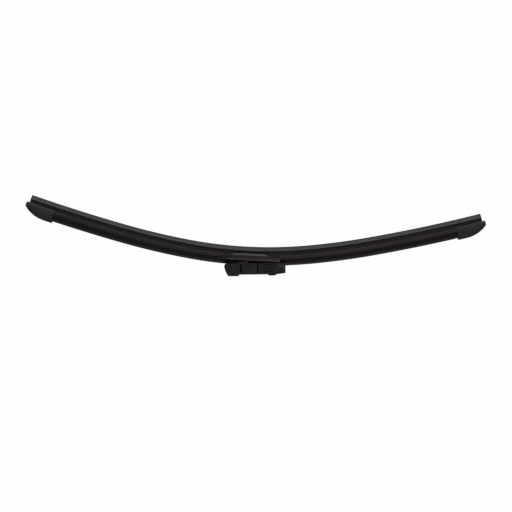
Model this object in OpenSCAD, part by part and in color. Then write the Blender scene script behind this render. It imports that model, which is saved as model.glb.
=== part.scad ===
// Beam wiper blade, 500 mm, for an arm with a 19 mm channel end and a snap-in button.
// The frame is that of the arm: the origin is the middle of the pivot pin, +X runs back along
// the arm, +Z points away from the glass, and the rubber lip hangs down in -Z.
// A section of the blade is drawn as [h, y]: h is the height above the lip's edge.

/* [Blade] */
// Length of lip ahead of the middle of the bow, on the nose side
lip_front = 240.9; // [200:1:300]
// Length of lip behind the middle of the bow, on the button side
lip_rear = 255.7; // [200:1:300]
// Height of the spoiler's ridge above the lip's edge
ridge_h = 19.9; // [19:0.1:21]
// How far the pivot pin is behind the middle of the bow
pin_behind_bow = 5.0; // [0:0.5:10]
// Height of the pivot pin above the lip's edge
pin_h = 22.85; // [22.5:0.05:24]
// Tilt of the blade against the arm, degrees, as it lies unloaded
blade_tilt = 3.5; // [-5:0.5:7]

/* [Bow] */
// Radius of the lip's edge in the middle of the bow
bow_r_mid = 469; // [400:1:600]
// Radius of the lip's edge on each side of the middle
bow_r_side = 781; // [600:1:1000]
// Radius of the lip's edge near the ends
bow_r_end = 1720; // [1200:10:2500]
// Angle that half the middle stretch turns through
bow_a_mid = 8; // [6:0.1:9]
// Angle that a side stretch turns through
bow_a_side = 4.8; // [3:0.1:6]

/* [Rubber and rails] */
// Height of the lip's shoulder
shoulder_h = 4.9; // [4.5:0.1:5.2]
// Half the width of the shoulder
shoulder_half_w = 2.7; // [2.4:0.05:3]
// Half the thickness of the lip's edge
lip_half_w = 0.35; // [0.3:0.05:0.5]
// Height of the underside of the spring rails
rail_h = 10.6; // [10.4:0.1:11]
// Thickness of a spring rail
rail_t = 0.9; // [0.8:0.1:1]
// Width of a spring rail
rail_w = 3.55; // [3:0.05:3.6]

/* [Arm adapter] */
// Width of the nose, the same as the arm's channel outside
nose_w = 19; // [17:0.5:19]
// Width of the insert, which slides into the arm's channel
insert_w = 15.8; // [15.6:0.1:16]
// Height of the insert's seat above the pin
seat_z = 7.2; // [7:0.1:7.5]
// How far the nose stands above the seat
nose_step = 1.6; // [1:0.1:2]
// How far the button stands above the seat
button_step = 1.3; // [1:0.1:1.6]
// Thickness of the adapter's walls
wall = 1.5; // [1.2:0.1:1.6]

/* [Pivot] */
// Radius of the pivot pin
pin_r = 2.0; // [1.5:0.1:2.2]
// Clearance between the pin and the adapter's holes
pin_gap = 0.05; // [0.03:0.01:0.1]

/* [Hidden] */

// bow: stretches of the half blade, from the middle outwards
radii = [bow_r_mid, bow_r_side, bow_r_end];
to_deg = 180 / PI;
angles = [0, bow_a_mid, bow_a_mid + bow_a_side];
mid_l = bow_r_mid * bow_a_mid / to_deg;
end_start = mid_l + bow_r_side * bow_a_side / to_deg;
starts = [0, mid_l, end_start];
chord_gap = 0.03;
arc_fn = 256;
round_fn = 64;
small = 0.05;
far = 60;

// rubber section
head_h = rail_h + rail_t;
groove_half_w = 1.4;
head_half_w = 3.15;
neck_half_w = 0.45;
body_half_w = 1.5;
flange_half_w = 2.6;
rail_inner = groove_half_w + small;
rail_outer = rail_inner + rail_w;
rail_short = 1.4;

// spoiler section
claw_h = rail_h - 1.3;
claw_r = 1.2;
claw_half_w = 6.0;
mouth_half_w = 3.75;
// the spoilers stop short of the connector, and end inside the caps
spoiler_front = 28.2;
spoiler_rear = 29.5;
spoiler_short = 3;

// end caps
cap_l = 31.6;
cap_over = 3.5;
cap_half_w = 7.4;
cap_top = 21.6;
cap_foot = 8.2;

// steel clamp on the rails
clamp_half_l = 22;
clamp_half_w = 6.2;
clamp_roof_h = 13.7;
clamp_t = 1.1;
ear_half_l = 8.6;
ear_top = 4.2;
ear_in = 4.4;
ear_out = 5.5;
// its side walls reach past its roof, under the adapter's skirt
web_front = 29.2;
web_rear = 30.6;

// base cover: side outline in blade coordinates, measured along the blade from the pin
cover_half_w = 9.4;
cover_foot = 7.75;
cover_top = 15.05;
trough_half_w = 8.3;
trough_h = 12.9;

// adapter
half_insert = insert_w / 2;
half_nose = nose_w / 2;
nose_tip_x = -29.1;
nose_end_x = -13.0;
insert_end_x = 37.2;
roof_z = seat_z - wall;
half_core = half_insert - wall;
tongue_x = 9.2;
button_x0 = 18.6;
button_x1 = 26.7;
tongue_half_w = 4.0;
tongue_gap = 0.35;

// the bow at arc length s from its middle: stretch, angle turned through and centre [x, z] of its arc
function stretch(s) = abs(s) <= mid_l ? 0 : abs(s) <= end_start ? 1 : 2;
function turned(s) =
    let (t = abs(s), i = stretch(s))
    i == 0 ? t / radii[0] * to_deg : angles[i] + (t - starts[i]) / radii[i] * to_deg;
function centre(i) = i == 0 ? [0, -radii[0]]
    : centre(i - 1) + (radii[i - 1] - radii[i]) * [sin(angles[i]), cos(angles[i])];

// the place [x, y, z] of the section's point [h, y] at arc length s
function on_bow(s, point) =
    let (i = stretch(s), a = turned(s), p = centre(i) + (radii[i] + point[0]) * [sin(a), cos(a)])
    [sign(s) * p[0], point[1], p[1]];

// arc lengths of the rings from s0 to s1, close enough to keep the chords within chord_gap of the arc
function rings(s0, s1) =
    let (marks = [s0, for (m = [-end_start, -mid_l, mid_l, end_start]) if (m > s0 && m < s1) m, s1])
    [
        for (k = [0 : len(marks) - 2])
        let (
            step = sqrt(8 * radii[stretch((marks[k] + marks[k + 1]) / 2)] * chord_gap),
            n = ceil((marks[k + 1] - marks[k]) / step)
        )
        for (j = [0 : n - 1]) marks[k] + (marks[k + 1] - marks[k]) * j / n,
        s1
    ];

// twice the area of the triangle a, b, c, positive where it turns clockwise
function turn(a, b, c) = (b[1] - a[1]) * (c[0] - a[0]) - (b[0] - a[0]) * (c[1] - a[1]);

// how far the corner k of a clockwise loop stands out, or 0 where its triangle isn't free to be cut off
function ear(points, loop, k) =
    let (
        n = len(loop), i = loop[(k + n - 1) % n], j = loop[k], m = loop[(k + 1) % n],
        a = points[i], b = points[j], c = points[m],
        within = [
            for (q = loop) if (q != i && q != j && q != m)
                let (p = points[q])
                if (turn(a, b, p) >= 0 && turn(b, c, p) >= 0 && turn(c, a, p) >= 0) q
        ]
    )
    len(within) > 0 ? 0 : turn(a, b, c) / max(norm(b - a), norm(c - b), norm(a - c));

// cuts a clockwise loop into triangles, the fullest corner first
function triangles(points, loop) =
    len(loop) == 3 ? [loop]
    : let (
        n = len(loop), ears = [for (k = [0 : n - 1]) ear(points, loop, k)],
        best = max(ears), k = [for (k = [0 : n - 1]) if (ears[k] == best) k][0],
        rest = [for (q = [0 : n - 1]) if (q != k) loop[q]]
    )
    concat([[loop[(k + n - 1) % n], loop[k], loop[(k + 1) % n]]], triangles(points, rest));

// lofts a closed section along the bow from arc length s0 to s1
module sweep(section, s0, s1) {
    at = rings(s0, s1);
    n = len(section);
    last = (len(at) - 1) * n;
    end_face = triangles(section, [for (k = [0 : n - 1]) k]);
    polyhedron(
        points = [for (s = at) for (point = section) on_bow(s, point)],
        faces = [
            for (t = end_face) [t[2], t[1], t[0]],
            for (j = [0 : len(at) - 2]) for (k = [0 : n - 1])
                [j * n + k, j * n + (k + 1) % n, (j + 1) * n + (k + 1) % n, (j + 1) * n + k],
            for (t = end_face) [last + t[0], last + t[1], last + t[2]]
        ],
        convexity = 6
    );
}

// swings a section [h, y] along an arc whose lip edge has radius r, over arc lengths x0 to x1
module swing(r, x0, x1) {
    translate([0, 0, -r]) rotate([0, -90, -90])
        rotate_extrude(start = x0 / r * to_deg, angle = (x1 - x0) / r * to_deg, $fn = arc_fn)
            translate([r, 0]) children();
}

// a rectangle [h, y] from h0 to h1, as wide as 2 * half_w
module strip(h0, h1, half_w) {
    translate([h0, -half_w]) square([h1 - h0, 2 * half_w]);
}

// the frame at arc length s, x away from the middle
module at_length(s) {
    p = on_bow(s, [0, 0]);
    translate(p) rotate([0, sign(s) * turned(s), 0]) mirror([s < 0 ? 1 : 0, 0, 0]) children();
}

// from the blade's own frame, at the lip in the middle of the bow, to the arm's frame
module on_arm() {
    rotate([0, -blade_tilt, 0]) translate([-pin_behind_bow, 0, -pin_h]) children();
}

// as on_arm, for parts drawn from the pin along the blade, with heights from the lip
module at_pin() {
    rotate([0, -blade_tilt, 0]) translate([0, 0, -pin_h]) children();
}

// a side outline [x, z] given a width across the blade
module slab(half_w) {
    rotate([90, 0, 0]) linear_extrude(2 * half_w, center = true) children();
}

// a section [y, z] given a length along x
module bar(x0, x1) {
    translate([x0, 0, 0]) rotate([90, 0, 90]) linear_extrude(x1 - x0) children();
}

module both_sides() {
    children();
    mirror([0, 1, 0]) children();
}

// points on an arc about [h, y], from angle a0 to a1
function arc(c, r, a0, a1, n) =
    [for (k = [0 : n]) let (a = a0 + (a1 - a0) * k / n) c + r * [cos(a), sin(a)]];

// a section made of a half [h, y] with y > 0, and its mirror image
function mirrored(half) =
    concat(half, [for (k = [len(half) - 1 : -1 : 0]) [half[k][0], -half[k][1]]]);

// half the section of the rubber: lip, shoulder, neck, body, flange, rail groove and head
function rubber_half() =
    let (
        flank_h = 0.8, flank_half_w = lip_half_w + 0.07, flank_r = 7.8, steep = 75, flared = 45,
        flank_centre = [flank_h, flank_half_w] + flank_r * [-cos(steep), sin(steep)],
        neck_h = shoulder_h + 1, body_h = neck_h + 0.1, rib_half_w = body_half_w + 0.3,
        foot_h = rail_h - small
    )
    concat(
        [[0, lip_half_w]],
        // hollow flank of the lip, out to the shoulder
        arc(flank_centre, flank_r, -steep, -flared, 4),
        [
            [shoulder_h - 0.4, shoulder_half_w], [shoulder_h - 0.1, shoulder_half_w],
            [shoulder_h, shoulder_half_w - 0.2],
            // neck that lets the lip tilt
            [shoulder_h + 0.1, neck_half_w], [neck_h, neck_half_w],
            // body with a rib along it
            [body_h, body_half_w], [body_h + 0.6, rib_half_w], [body_h + 1.1, rib_half_w],
            [body_h + 1.4, body_half_w], [foot_h - 1.7, body_half_w], [foot_h - 1.3, flange_half_w],
            // groove for the rail
            [foot_h, flange_half_w], [foot_h, groove_half_w],
            [head_h + small, groove_half_w], [head_h + small, head_half_w],
            [head_h + 1.1, head_half_w], [head_h + 1.5, head_half_w - 0.5]
        ]
    );

module wiper_rubber() {
    color("#171616") on_arm() sweep(mirrored(rubber_half()), -lip_front, lip_rear);
}

module spring_rail(side) {
    y0 = side > 0 ? rail_inner : -rail_outer;
    section = [[rail_h, y0 + rail_w], [head_h, y0 + rail_w], [head_h, y0], [rail_h, y0]];
    color("#3a3a3d") on_arm() sweep(section, -lip_front + rail_short, lip_rear - rail_short);
}

// half the outer form of the spoiler, from its claw to its ridge
function spoiler_half() =
    let (fin_r = 8, fin_centre = [ridge_h + 1, 8.7])
    concat(
        arc([claw_h + claw_r, claw_half_w - claw_r], claw_r, 180, 90, 4),
        // swelling over the rubber's head
        [[12.8, claw_half_w - 0.05], [13.7, 5.3]],
        // hollow side of the fin
        arc(fin_centre, fin_r, 207, 252, 6),
        [[ridge_h - 0.7, 1.0], [ridge_h - 0.2, 0.75], [ridge_h, 0.3]]
    );

// half the inside of the spoiler: mouth, rail slot and the space for the rubber's head
function spoiler_inside() =
    let (slot_y = rail_outer + small, room_y = head_half_w + 0.3, room_h = head_h + 1.85)
    [
        [room_h, room_y], [head_h + small, room_y], [head_h + small, slot_y],
        [rail_h - small, slot_y], [rail_h - small, mouth_half_w], [claw_h, mouth_half_w]
    ];

// the whole section: one claw, the fin, the other claw, and back along the inside
function spoiler_section() =
    let (outer = mirrored(spoiler_half()), inner = spoiler_inside(), n = len(inner))
    concat(
        outer, [for (k = [n - 1 : -1 : 0]) [inner[k][0], -inner[k][1]]], inner
    );

module spoiler_left() {
    color("#1d1c1d") on_arm()
        sweep(spoiler_section(), -lip_front + spoiler_short, pin_behind_bow - spoiler_front);
}

module spoiler_right() {
    color("#1d1c1d") on_arm()
        sweep(spoiler_section(), pin_behind_bow + spoiler_rear, lip_rear - spoiler_short);
}

// side outline of an end cap, x outwards from its inner edge
module cap_outline() {
    nose_x = 14.5;
    nose_r = 21.2;
    intersection() {
        polygon([
            [0, cap_foot], [cap_l - 1, cap_foot], [cap_l, cap_foot + 1], [cap_l, cap_top],
            [1.4, cap_top], [0, ridge_h - 0.3]
        ]);
        union() {
            square([nose_x, cap_top]);
            translate([nose_x, cap_top - nose_r]) circle(r = nose_r, $fn = 180);
        }
    }
}

// section of an end cap [y, z], with crowned flanks
module cap_section() {
    shoulder = 12.4;
    intersection() {
        polygon([
            [-cap_half_w + 1.1, cap_foot], [cap_half_w - 1.1, cap_foot], [cap_half_w, cap_foot + 1.5],
            [cap_half_w, shoulder], [1.2, cap_top], [-1.2, cap_top], [-cap_half_w, shoulder],
            [-cap_half_w, cap_foot + 1.5]
        ]);
        union() {
            translate([-cap_half_w, cap_foot]) square([2 * cap_half_w, shoulder - cap_foot]);
            intersection_for(side = [-1, 1]) translate([-side * 16.5, 6.5]) circle(r = 24.6, $fn = 180);
        }
    }
}

// plan of an end cap, rounded at its nose
module cap_plan() {
    nose_r = 9;
    union() {
        translate([0, -cap_half_w]) square([cap_l - nose_r, 2 * cap_half_w]);
        intersection() {
            translate([cap_l - nose_r, 0]) circle(r = nose_r, $fn = 120);
            translate([0, -cap_half_w]) square([cap_l, 2 * cap_half_w]);
        }
    }
}

// section [h, y] of the spoiler's outer form with a little room round it
module spoiler_room(room) {
    k = 1 + room / claw_half_w;
    translate([-2 * room, 0]) scale(k) polygon(mirrored(spoiler_half()));
}

// the space inside a cap for the rails, the rubber and the end of the spoiler, along the bow's last arc
module cap_hollow() {
    room = 0.15;
    rubber_end = cap_l - cap_over + 1.3;
    rails_end = cap_l - cap_over - rail_short + 0.4;
    spoiler_end = cap_l - cap_over - spoiler_short + 0.3;
    swing(bow_r_end, -1, rails_end) strip(rail_h - room, head_h + room, rail_outer + room);
    swing(bow_r_end, -1, rubber_end) union() {
        strip(rail_h, head_h + 2, head_half_w + room);
        strip(cap_foot - 1, rail_h + small, mouth_half_w);
    }
    swing(bow_r_end, -1, spoiler_end) spoiler_room(room);
}

module end_cap() {
    difference() {
        intersection() {
            slab(cap_half_w + 1) cap_outline();
            bar(-1, cap_l + 1) cap_section();
            linear_extrude(cap_top + 5) cap_plan();
        }
        cap_hollow();
    }
}

module end_cap_left() {
    color("#232223") on_arm() at_length(-lip_front - cap_over + cap_l) end_cap();
}

module end_cap_right() {
    color("#232223") on_arm() at_length(lip_rear + cap_over - cap_l) end_cap();
}

// section [h, y] of the steel clamp: a channel over the rubber's head, folded in under the rails
module clamp_section() {
    fold_y = 3.9;
    inner_half_w = clamp_half_w - clamp_t;
    difference() {
        strip(rail_h - clamp_t, clamp_roof_h + clamp_t, clamp_half_w);
        strip(rail_h - small, clamp_roof_h, inner_half_w);
        strip(rail_h - clamp_t - 1, rail_h, fold_y);
    }
}

// the clamp follows the bow, and its side walls rise to the pin
module rail_clamp() {
    color("#4a4a4d") difference() {
        union() {
            on_arm() swing(bow_r_mid, pin_behind_bow - clamp_half_l, pin_behind_bow + clamp_half_l)
                clamp_section();
            both_sides() rotate([0, -blade_tilt, 0]) translate([0, ear_out, 0]) rotate([90, 0, 0])
                linear_extrude(ear_out - ear_in) web_outline();
        }
        rotate([90, 0, 0]) cylinder(r = pin_r, h = 4 * ear_out, center = true, $fn = round_fn);
    }
}

// outline [x, z] of a side wall of the clamp: an ear at the pin, and a low web ahead of it and behind
module web_outline() {
    corner = 1.3;
    // rests in the roof, which follows the bow, and clears the cover's upper edge
    roof_z = clamp_roof_h - pin_h + clamp_t / 2;
    edge_z = cover_top - pin_h + 0.1;
    union() {
        polygon([
            [-web_front, edge_z], [-web_front, -3.9], [-web_front + 0.8, -3.1], [-15.2, -2.6],
            [-14.5, -4.0], [-10.9, -4.0], [-ear_half_l - 0.3, ear_top - corner],
            [-ear_half_l + corner, ear_top], [ear_half_l - corner, ear_top],
            [ear_half_l, ear_top - corner], [9.4, -4.4], [web_rear - 0.8, -5.3], [web_rear, -6.1],
            [web_rear, edge_z]
        ]);
        polygon([
            [-21.5, edge_z + 1], [-21.5, roof_z - 0.3], [-5, roof_z], [8, roof_z - 0.15],
            [21.5, roof_z - 0.7], [21.5, edge_z + 1]
        ]);
    }
}

// side outline of the base cover: pointed ahead, square behind
module cover_outline() {
    polygon([
        [-36.5, 13.9], [-28.9, 11.2], [-26.2, 9.5], [-20.1, 8.0], [-4, cover_foot], [13.2, cover_foot],
        [17.2, 8.9], [23.4, 10.5], [31, 10.7], [31, cover_top], [-29, cover_top], [-35, 14.9]
    ]);
}

// plan of the base cover
module cover_plan() {
    tip_half_w = 6.9;
    tail_half_w = 8.9;
    half = [
        [-36.5, tip_half_w], [-26, 8.6], [-18, cover_half_w], [18, cover_half_w], [31, tail_half_w]
    ];
    polygon(concat(half, [for (i = [len(half) - 1 : -1 : 0]) [half[i][0], -half[i][1]]]));
}

// section of the base cover [y, z], with its lower edges rounded
module cover_section() {
    edge_r = 2.2;
    rounded_h = cover_foot + edge_r;
    top_h = cover_top + 1;
    union() {
        translate([-cover_half_w, rounded_h]) square([2 * cover_half_w, top_h - rounded_h]);
        translate([edge_r - cover_half_w, cover_foot])
            square([2 * (cover_half_w - edge_r), top_h - cover_foot]);
        for (side = [-1, 1]) translate([side * (cover_half_w - edge_r), rounded_h])
            circle(r = edge_r, $fn = round_fn);
    }
}

// what the base cover leaves free along the bow: slot for the rails and the rubber, bed of the clamp,
// and the inner ends of the spoilers
module cover_hollow(fit) {
    bed_l = clamp_half_l + fit;
    above = 30;
    swing(bow_r_mid, -far, far) union() {
        strip(rail_h - fit, head_h + fit, rail_outer + fit);
        strip(rail_h, head_h + 2, head_half_w + fit);
        strip(cover_foot - 3, rail_h + small, mouth_half_w);
    }
    swing(bow_r_mid, pin_behind_bow - bed_l, pin_behind_bow + bed_l)
        strip(rail_h - clamp_t - fit, above, clamp_half_w + fit);
    swing(bow_r_mid, pin_behind_bow + spoiler_rear - 0.3, far) spoiler_bed(fit);
    swing(bow_r_mid, -far, pin_behind_bow - spoiler_front + 0.3) spoiler_bed(fit);
}

// section [h, y] that a spoiler leaves the cover, open below its claws
module spoiler_bed(fit) {
    union() {
        spoiler_room(fit);
        strip(claw_h - 4, claw_h + 1, claw_half_w - claw_r);
    }
}

module base_cover() {
    fit = 0.1;
    color("#262526") difference() {
        at_pin() intersection() {
            slab(cover_half_w + 1) cover_outline();
            linear_extrude(30) cover_plan();
            bar(-far, far) cover_section();
        }
        // trough that the adapter's walls swing in
        at_pin() translate([-20, -trough_half_w, trough_h]) cube([far, 2 * trough_half_w, 10]);
        on_arm() cover_hollow(fit);
    }
}

module pivot_pin() {
    color("#55555a") rotate([90, 0, 0]) cylinder(r = pin_r, h = insert_w, center = true, $fn = round_fn);
}

// side outline of the adapter's nose
module nose_outline() {
    top = seat_z + nose_step;
    front_r = 23;
    intersection() {
        polygon([
            [-28.1, -4.5], [-20.8, -4.7], [nose_end_x, -4.7], [nose_end_x, top - 1.1], [-14.0, top],
            [-24.4, top], [-25.9, 7.2], [-28.0, 2.6], [-29.0, -1], [nose_tip_x, -2.5]
        ]);
        translate([nose_tip_x + front_r, -2.5]) circle(r = front_r, $fn = 180);
    }
}

// side outline of the insert, which reaches forward under the nose
module insert_outline() {
    polygon([
        [-20.8, -4.7], [-18.6, -5.7], [-3.2, -8.1], [-3.2, -5.2], [24, -5.2], [insert_end_x, -4.4],
        [insert_end_x, seat_z - 1.9], [36.2, seat_z - 1.1], [27.3, seat_z], [-20.8, seat_z]
    ]);
}

// plan of the insert, tapered at the rear so that it finds the arm's channel
module insert_plan() {
    tail = 1.1;
    polygon([
        [-21, -half_insert], [-21, half_insert], [30, half_insert], [insert_end_x, half_insert - tail],
        [insert_end_x, -half_insert + tail], [30, -half_insert]
    ]);
}

// plan of the nose, with rounded front corners
module nose_plan() {
    corner = 3;
    union() {
        translate([nose_tip_x + corner, -half_nose]) square([nose_end_x - nose_tip_x - corner, nose_w]);
        translate([nose_tip_x, -half_nose + corner]) square([corner, nose_w - 2 * corner]);
        for (side = [-1, 1]) translate([nose_tip_x + corner, side * (half_nose - corner)])
            circle(r = corner, $fn = round_fn);
    }
}

// section [y, z] with rounded upper corners
module crown(half_w, top, r) {
    union() {
        translate([-half_w, -20]) square([2 * half_w, top - r + 20]);
        translate([-half_w + r, -20]) square([2 * (half_w - r), top + 20]);
        for (side = [-1, 1]) translate([side * (half_w - r), top - r]) circle(r = r, $fn = round_fn);
    }
}

// the adapter's outer form: the nose and the insert
module adapter_form() {
    union() {
        intersection() {
            slab(half_nose + 1) nose_outline();
            translate([0, 0, -20]) linear_extrude(40) nose_plan();
            bar(-far, far) crown(half_nose, seat_z + nose_step, 1.6);
        }
        intersection() {
            slab(half_insert + 1) insert_outline();
            translate([0, 0, -20]) linear_extrude(40) insert_plan();
            bar(-far, far) crown(half_insert, seat_z, 0.8);
        }
    }
}

// a box from x0 to x1, as wide as 2 * half_w, open below and closed at z1
module pocket(x0, x1, half_w, z1) {
    below = 20;
    translate([x0, -half_w, -below]) cube([x1 - x0, 2 * half_w, z1 + below]);
}

// hollow of the adapter, open towards the glass and over the spoiler behind
module adapter_core() {
    end_wall = 1.6;
    window_z = 1.4;
    nose_floor = seat_z + nose_step - wall - 1;
    // under the insert, with a wall left standing at the shoulder
    pocket(nose_end_x + 0.9, insert_end_x - end_wall, half_core, roof_z);
    pocket(0, far, half_core - 0.2, window_z);
    // under the nose
    pocket(-26.2, nose_end_x - 0.6, half_core, nose_floor);
    // the shoulder wall is cut away over the rail clamp, and so is the front of the nose
    pocket(-20, 0, half_core, -2);
    pocket(nose_tip_x - 1, -25, half_core - 0.4, 1);
}

// slots, grooves and recesses in the adapter's sides
module side_cuts() {
    depth = 0.7;
    skin = half_insert - depth;
    // slots that free the lug round the pin
    translate([-12.0, 0, -4.2]) cube([1.6, far, 9.5]);
    translate([6.6, 0, -20]) cube([1.2, far, 25.3]);
    // groove behind the strip
    translate([12.3, skin + 0.3, -20]) cube([1.1, far, 25.3]);
    // three finger grooves
    for (z = [-2.9, 0.4, 3.7]) translate([13.9, skin, z - 0.6]) cube([9.9, far, 1.2]);
    // two upright recesses
    translate([24.6, skin, -3.7]) cube([1.2, far, 4.2]);
    translate([28.9, skin + 0.2, -2.2]) cube([0.9, far, 2.2]);
    // small pit in the nose
    translate([-21.3, half_nose - 0.4, 4.8]) rotate([-90, 0, 0]) cylinder(r = 0.6, h = far, $fn = round_fn);
    // two small windows under the button
    for (x = [20.4, 23.5]) translate([x - 0.5, 0, 4.95]) cube([1.0, far, 0.7]);
}

// opening in the adapter's roof for the button's tongue
module tongue_opening() {
    translate([tongue_x - tongue_gap, -tongue_half_w - tongue_gap, 0])
        cube([button_x1 - tongue_x + 2 * tongue_gap, 2 * (tongue_half_w + tongue_gap), 20]);
}

// groove down each side of the nose, ahead of the shoulder
module nose_grooves() {
    both_sides() translate([-15.4, half_nose - 0.35, -20]) cube([1.1, far, seat_z + 20 - 0.6]);
}

module arm_adapter() {
    boss_r = 3.0;
    boss_step = 0.15;
    color("#242324") difference() {
        union() {
            difference() {
                adapter_form();
                adapter_core();
                both_sides() side_cuts();
                tongue_opening();
                nose_grooves();
            }
            // low boss round the pin
            both_sides() translate([0, half_insert - 0.2, 0]) rotate([-90, 0, 0])
                cylinder(r = boss_r, h = 0.2 + boss_step, $fn = round_fn);
        }
        rotate([90, 0, 0]) cylinder(r = pin_r + pin_gap, h = far, center = true, $fn = round_fn);
    }
}

// side outline of the button and its springy tongue
module button_outline() {
    top = seat_z + button_step;
    tongue_t = 1.2;
    polygon([
        [tongue_x, seat_z - tongue_t], [button_x1, seat_z - tongue_t - 0.6], [button_x1, top - 0.4],
        [button_x1 - 0.4, top], [button_x0 + 0.5, top], [button_x0, top - 0.5], [button_x0, seat_z - 0.1],
        [tongue_x, seat_z - 0.1]
    ]);
}

module release_button() {
    color("#2a292a") difference() {
        slab(tongue_half_w) button_outline();
        // groove across the button's top for a finger nail
        translate([(button_x0 + button_x1) / 2, 0, seat_z + button_step + 0.7]) rotate([90, 0, 0])
            cylinder(r = 1.2, h = 20, center = true, $fn = round_fn);
    }
}

wiper_rubber();
spring_rail(-1);  // spring_rail_front
spring_rail(1);  // spring_rail_rear
spoiler_left();
spoiler_right();
end_cap_left();
end_cap_right();
rail_clamp();
base_cover();
pivot_pin();
arm_adapter();
release_button();
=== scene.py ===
"""Looks of a 500 mm beam wiper blade: rubber, spring rails, spoiler, end caps and arm adapter.

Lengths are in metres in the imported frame: the origin is the middle of the pivot pin, +X runs back
along the arm and +Z points away from the glass, so the lip hangs down in -Z. A section of the blade
is a loop of corners, each given in millimetres as its height above the lip's edge and its distance
across. The loop's face is spun along the arcs of the bow.
"""

from __future__ import annotations

import logging
import math
import sys
from dataclasses import dataclass, field, replace
from enum import Enum

import bmesh
import bpy
from bpy.types import Material, Node, NodeSocket, Object
from mathutils import Matrix, Vector

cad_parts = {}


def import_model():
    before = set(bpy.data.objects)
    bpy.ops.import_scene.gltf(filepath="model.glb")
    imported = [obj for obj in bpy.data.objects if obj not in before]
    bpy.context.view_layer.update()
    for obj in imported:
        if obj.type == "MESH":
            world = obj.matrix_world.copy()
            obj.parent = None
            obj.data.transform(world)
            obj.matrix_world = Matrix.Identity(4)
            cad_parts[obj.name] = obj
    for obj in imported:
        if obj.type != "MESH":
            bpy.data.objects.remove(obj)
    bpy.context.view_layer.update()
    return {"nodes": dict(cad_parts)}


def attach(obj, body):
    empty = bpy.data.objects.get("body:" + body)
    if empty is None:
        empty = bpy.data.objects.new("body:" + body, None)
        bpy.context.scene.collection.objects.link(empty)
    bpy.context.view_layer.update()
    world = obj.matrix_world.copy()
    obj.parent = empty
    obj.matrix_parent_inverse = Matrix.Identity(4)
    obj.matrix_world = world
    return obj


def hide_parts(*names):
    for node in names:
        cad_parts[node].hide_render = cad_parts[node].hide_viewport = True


MM = 0.001
ROUNDED_FROM = math.radians(30)
SHADED_SHARP_FROM = math.radians(38)
LOG = logging.getLogger("wiper_blade")


class Side(Enum):
    """End of the blade: the nose's end on the left of the photograph, or the button's on the right."""

    LEFT = "left"
    RIGHT = "right"


class Surface(Enum):
    """How a surface was made, which sets the pattern of its fine relief."""

    MOULDED = "moulded"
    EXTRUDED = "extruded"
    PAINTED = "painted"


@dataclass(frozen=True)
class Finish:
    """One dark finish, mottled in colour and roughness and with a fine relief.

    Attributes:
        name: the material's name.
        colour: base colour, linear.
        surface: how the surface was made.
        lift: how much lighter the light patches are, as a share of the colour.
        rough: lowest and highest roughness.
        patch: size of the patches in millimetres.
        grain: size of the relief's grain in millimetres.
        relief: strength of the relief's bump.
        specular: specular level of the shader.
        tint: colour of its reflections.
        coat: weight of a clear coat.
        metallic: metallic share.
    """

    name: str
    colour: tuple[float, float, float]
    surface: Surface
    lift: float = 0.5
    rough: tuple[float, float] = (0.5, 0.62)
    patch: float = 14.0
    grain: float = 0.35
    relief: float = 0.25
    specular: float = 0.5
    tint: tuple[float, float, float] = (1.0, 0.85, 1.0)
    coat: float = 0.0
    metallic: float = 0.0

    def material(self) -> Material:
        """Makes the finish's material, or returns the one that is already made.

        Returns:
            The node material.
        """
        made = bpy.data.materials.get(self.name)
        if made is not None:
            return made
        made = bpy.data.materials.new(self.name)
        made.use_nodes = True
        sketch = NodeSketch(made)
        shader = made.node_tree.nodes["Principled BSDF"]
        shader.inputs["Specular IOR Level"].default_value = self.specular
        shader.inputs["Specular Tint"].default_value = (*self.tint, 1)
        shader.inputs["Coat Weight"].default_value = self.coat
        shader.inputs["Metallic"].default_value = self.metallic
        where = sketch.coordinates("Object")
        patches = sketch.noise(where, 1 / (self.patch * MM), detail=4)
        specks = sketch.noise(where, 1 / (self.grain * 3 * MM), detail=2)
        if self.surface is Surface.EXTRUDED:
            along = sketch.stretched(sketch.coordinates("UV"), (14, 900, 1))
            streaks = sketch.noise(along, 1, detail=3)
            patches = sketch.mix(patches, streaks, 0.55)
        mottle = sketch.mix(patches, specks, 0.25)
        dark = (*self.colour, 1)
        light = (*(c * (1 + self.lift) for c in self.colour), 1)
        sketch.join(sketch.ramp(mottle, 0.32, dark, 0.68, light), shader.inputs["Base Color"])
        sketch.join(
            sketch.remap(mottle, 0.3, 0.7, self.rough[1], self.rough[0]), shader.inputs["Roughness"]
        )
        sketch.join(self.bump(sketch, where), shader.inputs["Normal"])
        return made

    def bump(self, sketch: NodeSketch, where: NodeSocket) -> NodeSocket:
        """Adds the fine relief.

        Args:
            sketch: the material's sketch.
            where: the object coordinates.

        Returns:
            The bumped normal.
        """
        if self.surface is Surface.PAINTED:
            return sketch.bump(sketch.noise(where, 1 / (self.grain * MM), detail=1), self.relief, 0.02)
        if self.surface is Surface.MOULDED:
            grain = sketch.cells(where, 1 / (self.grain * MM))
            return sketch.bump(grain, self.relief, 0.02)
        along = sketch.stretched(sketch.coordinates("UV"), (60, 1000 / self.grain, 1))
        streaks = sketch.noise(along, 1, detail=2)
        grain = sketch.noise(where, 1 / (self.grain * 0.7 * MM), detail=2)
        return sketch.bump(sketch.mix(streaks, grain, 0.45), self.relief, 0.02)


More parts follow.
